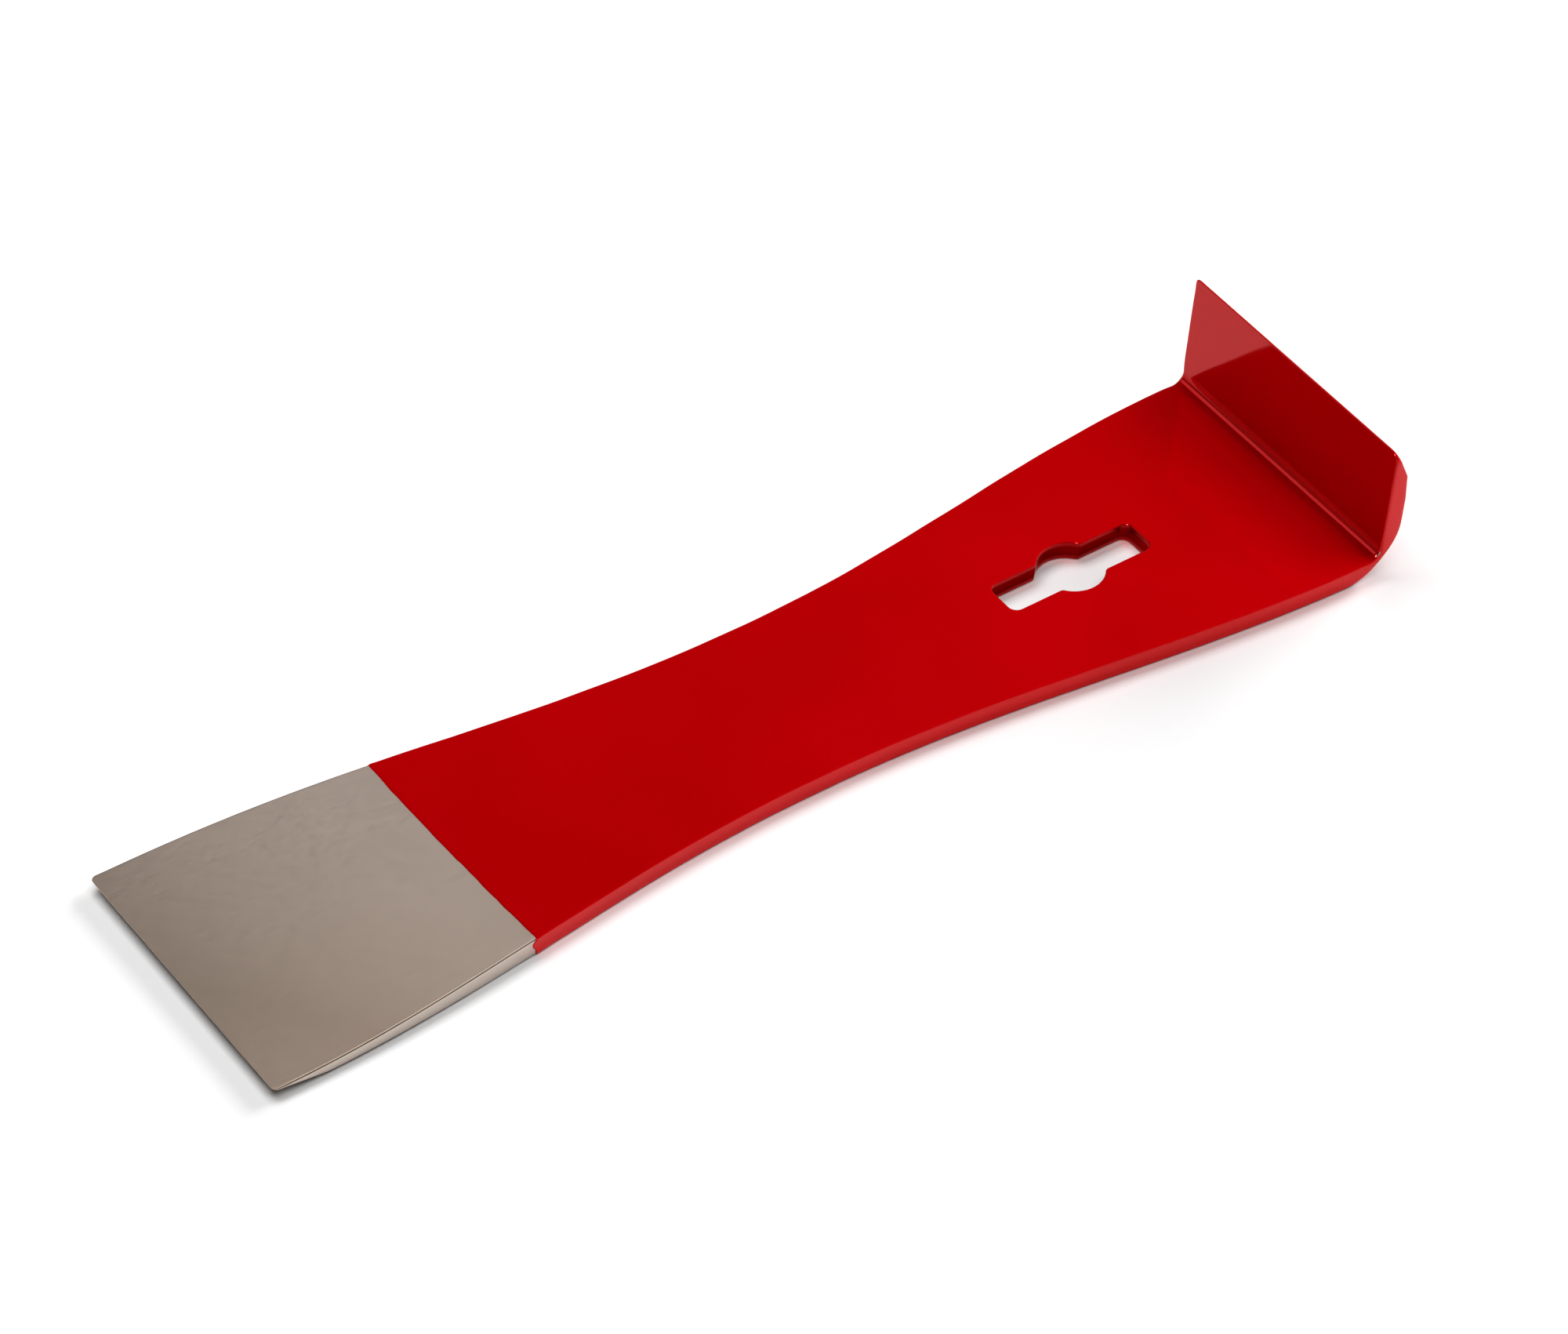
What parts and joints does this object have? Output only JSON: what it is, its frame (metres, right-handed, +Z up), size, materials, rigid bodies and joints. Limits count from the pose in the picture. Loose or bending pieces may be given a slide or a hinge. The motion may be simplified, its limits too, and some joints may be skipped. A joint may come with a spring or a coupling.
{
  "type": "hive tool",
  "caption": "Flat pry bar and scraper: waisted steel plate, ground blade at one end, upturned bevelled lip at the other, keyhole nail slot, red enamel grip.",
  "frame": {"origin": "on the resting face, under the middle of the bounding box", "axes": "+X from the blade towards the lip, +Y across the bar, +Z up, away from the resting face"},
  "size_m": [0.2414, 0.0578, 0.0291],
  "materials": {
    "ground_steel": "satin, finely ground, with worn edges",
    "red_enamel": "glossy sprayed enamel, thick and rounded over the edges"
  },
  "bodies": {
    "root": {"steel_bar": "ground_steel", "red_enamel": "red_enamel"}
  },
  "joints": []
}
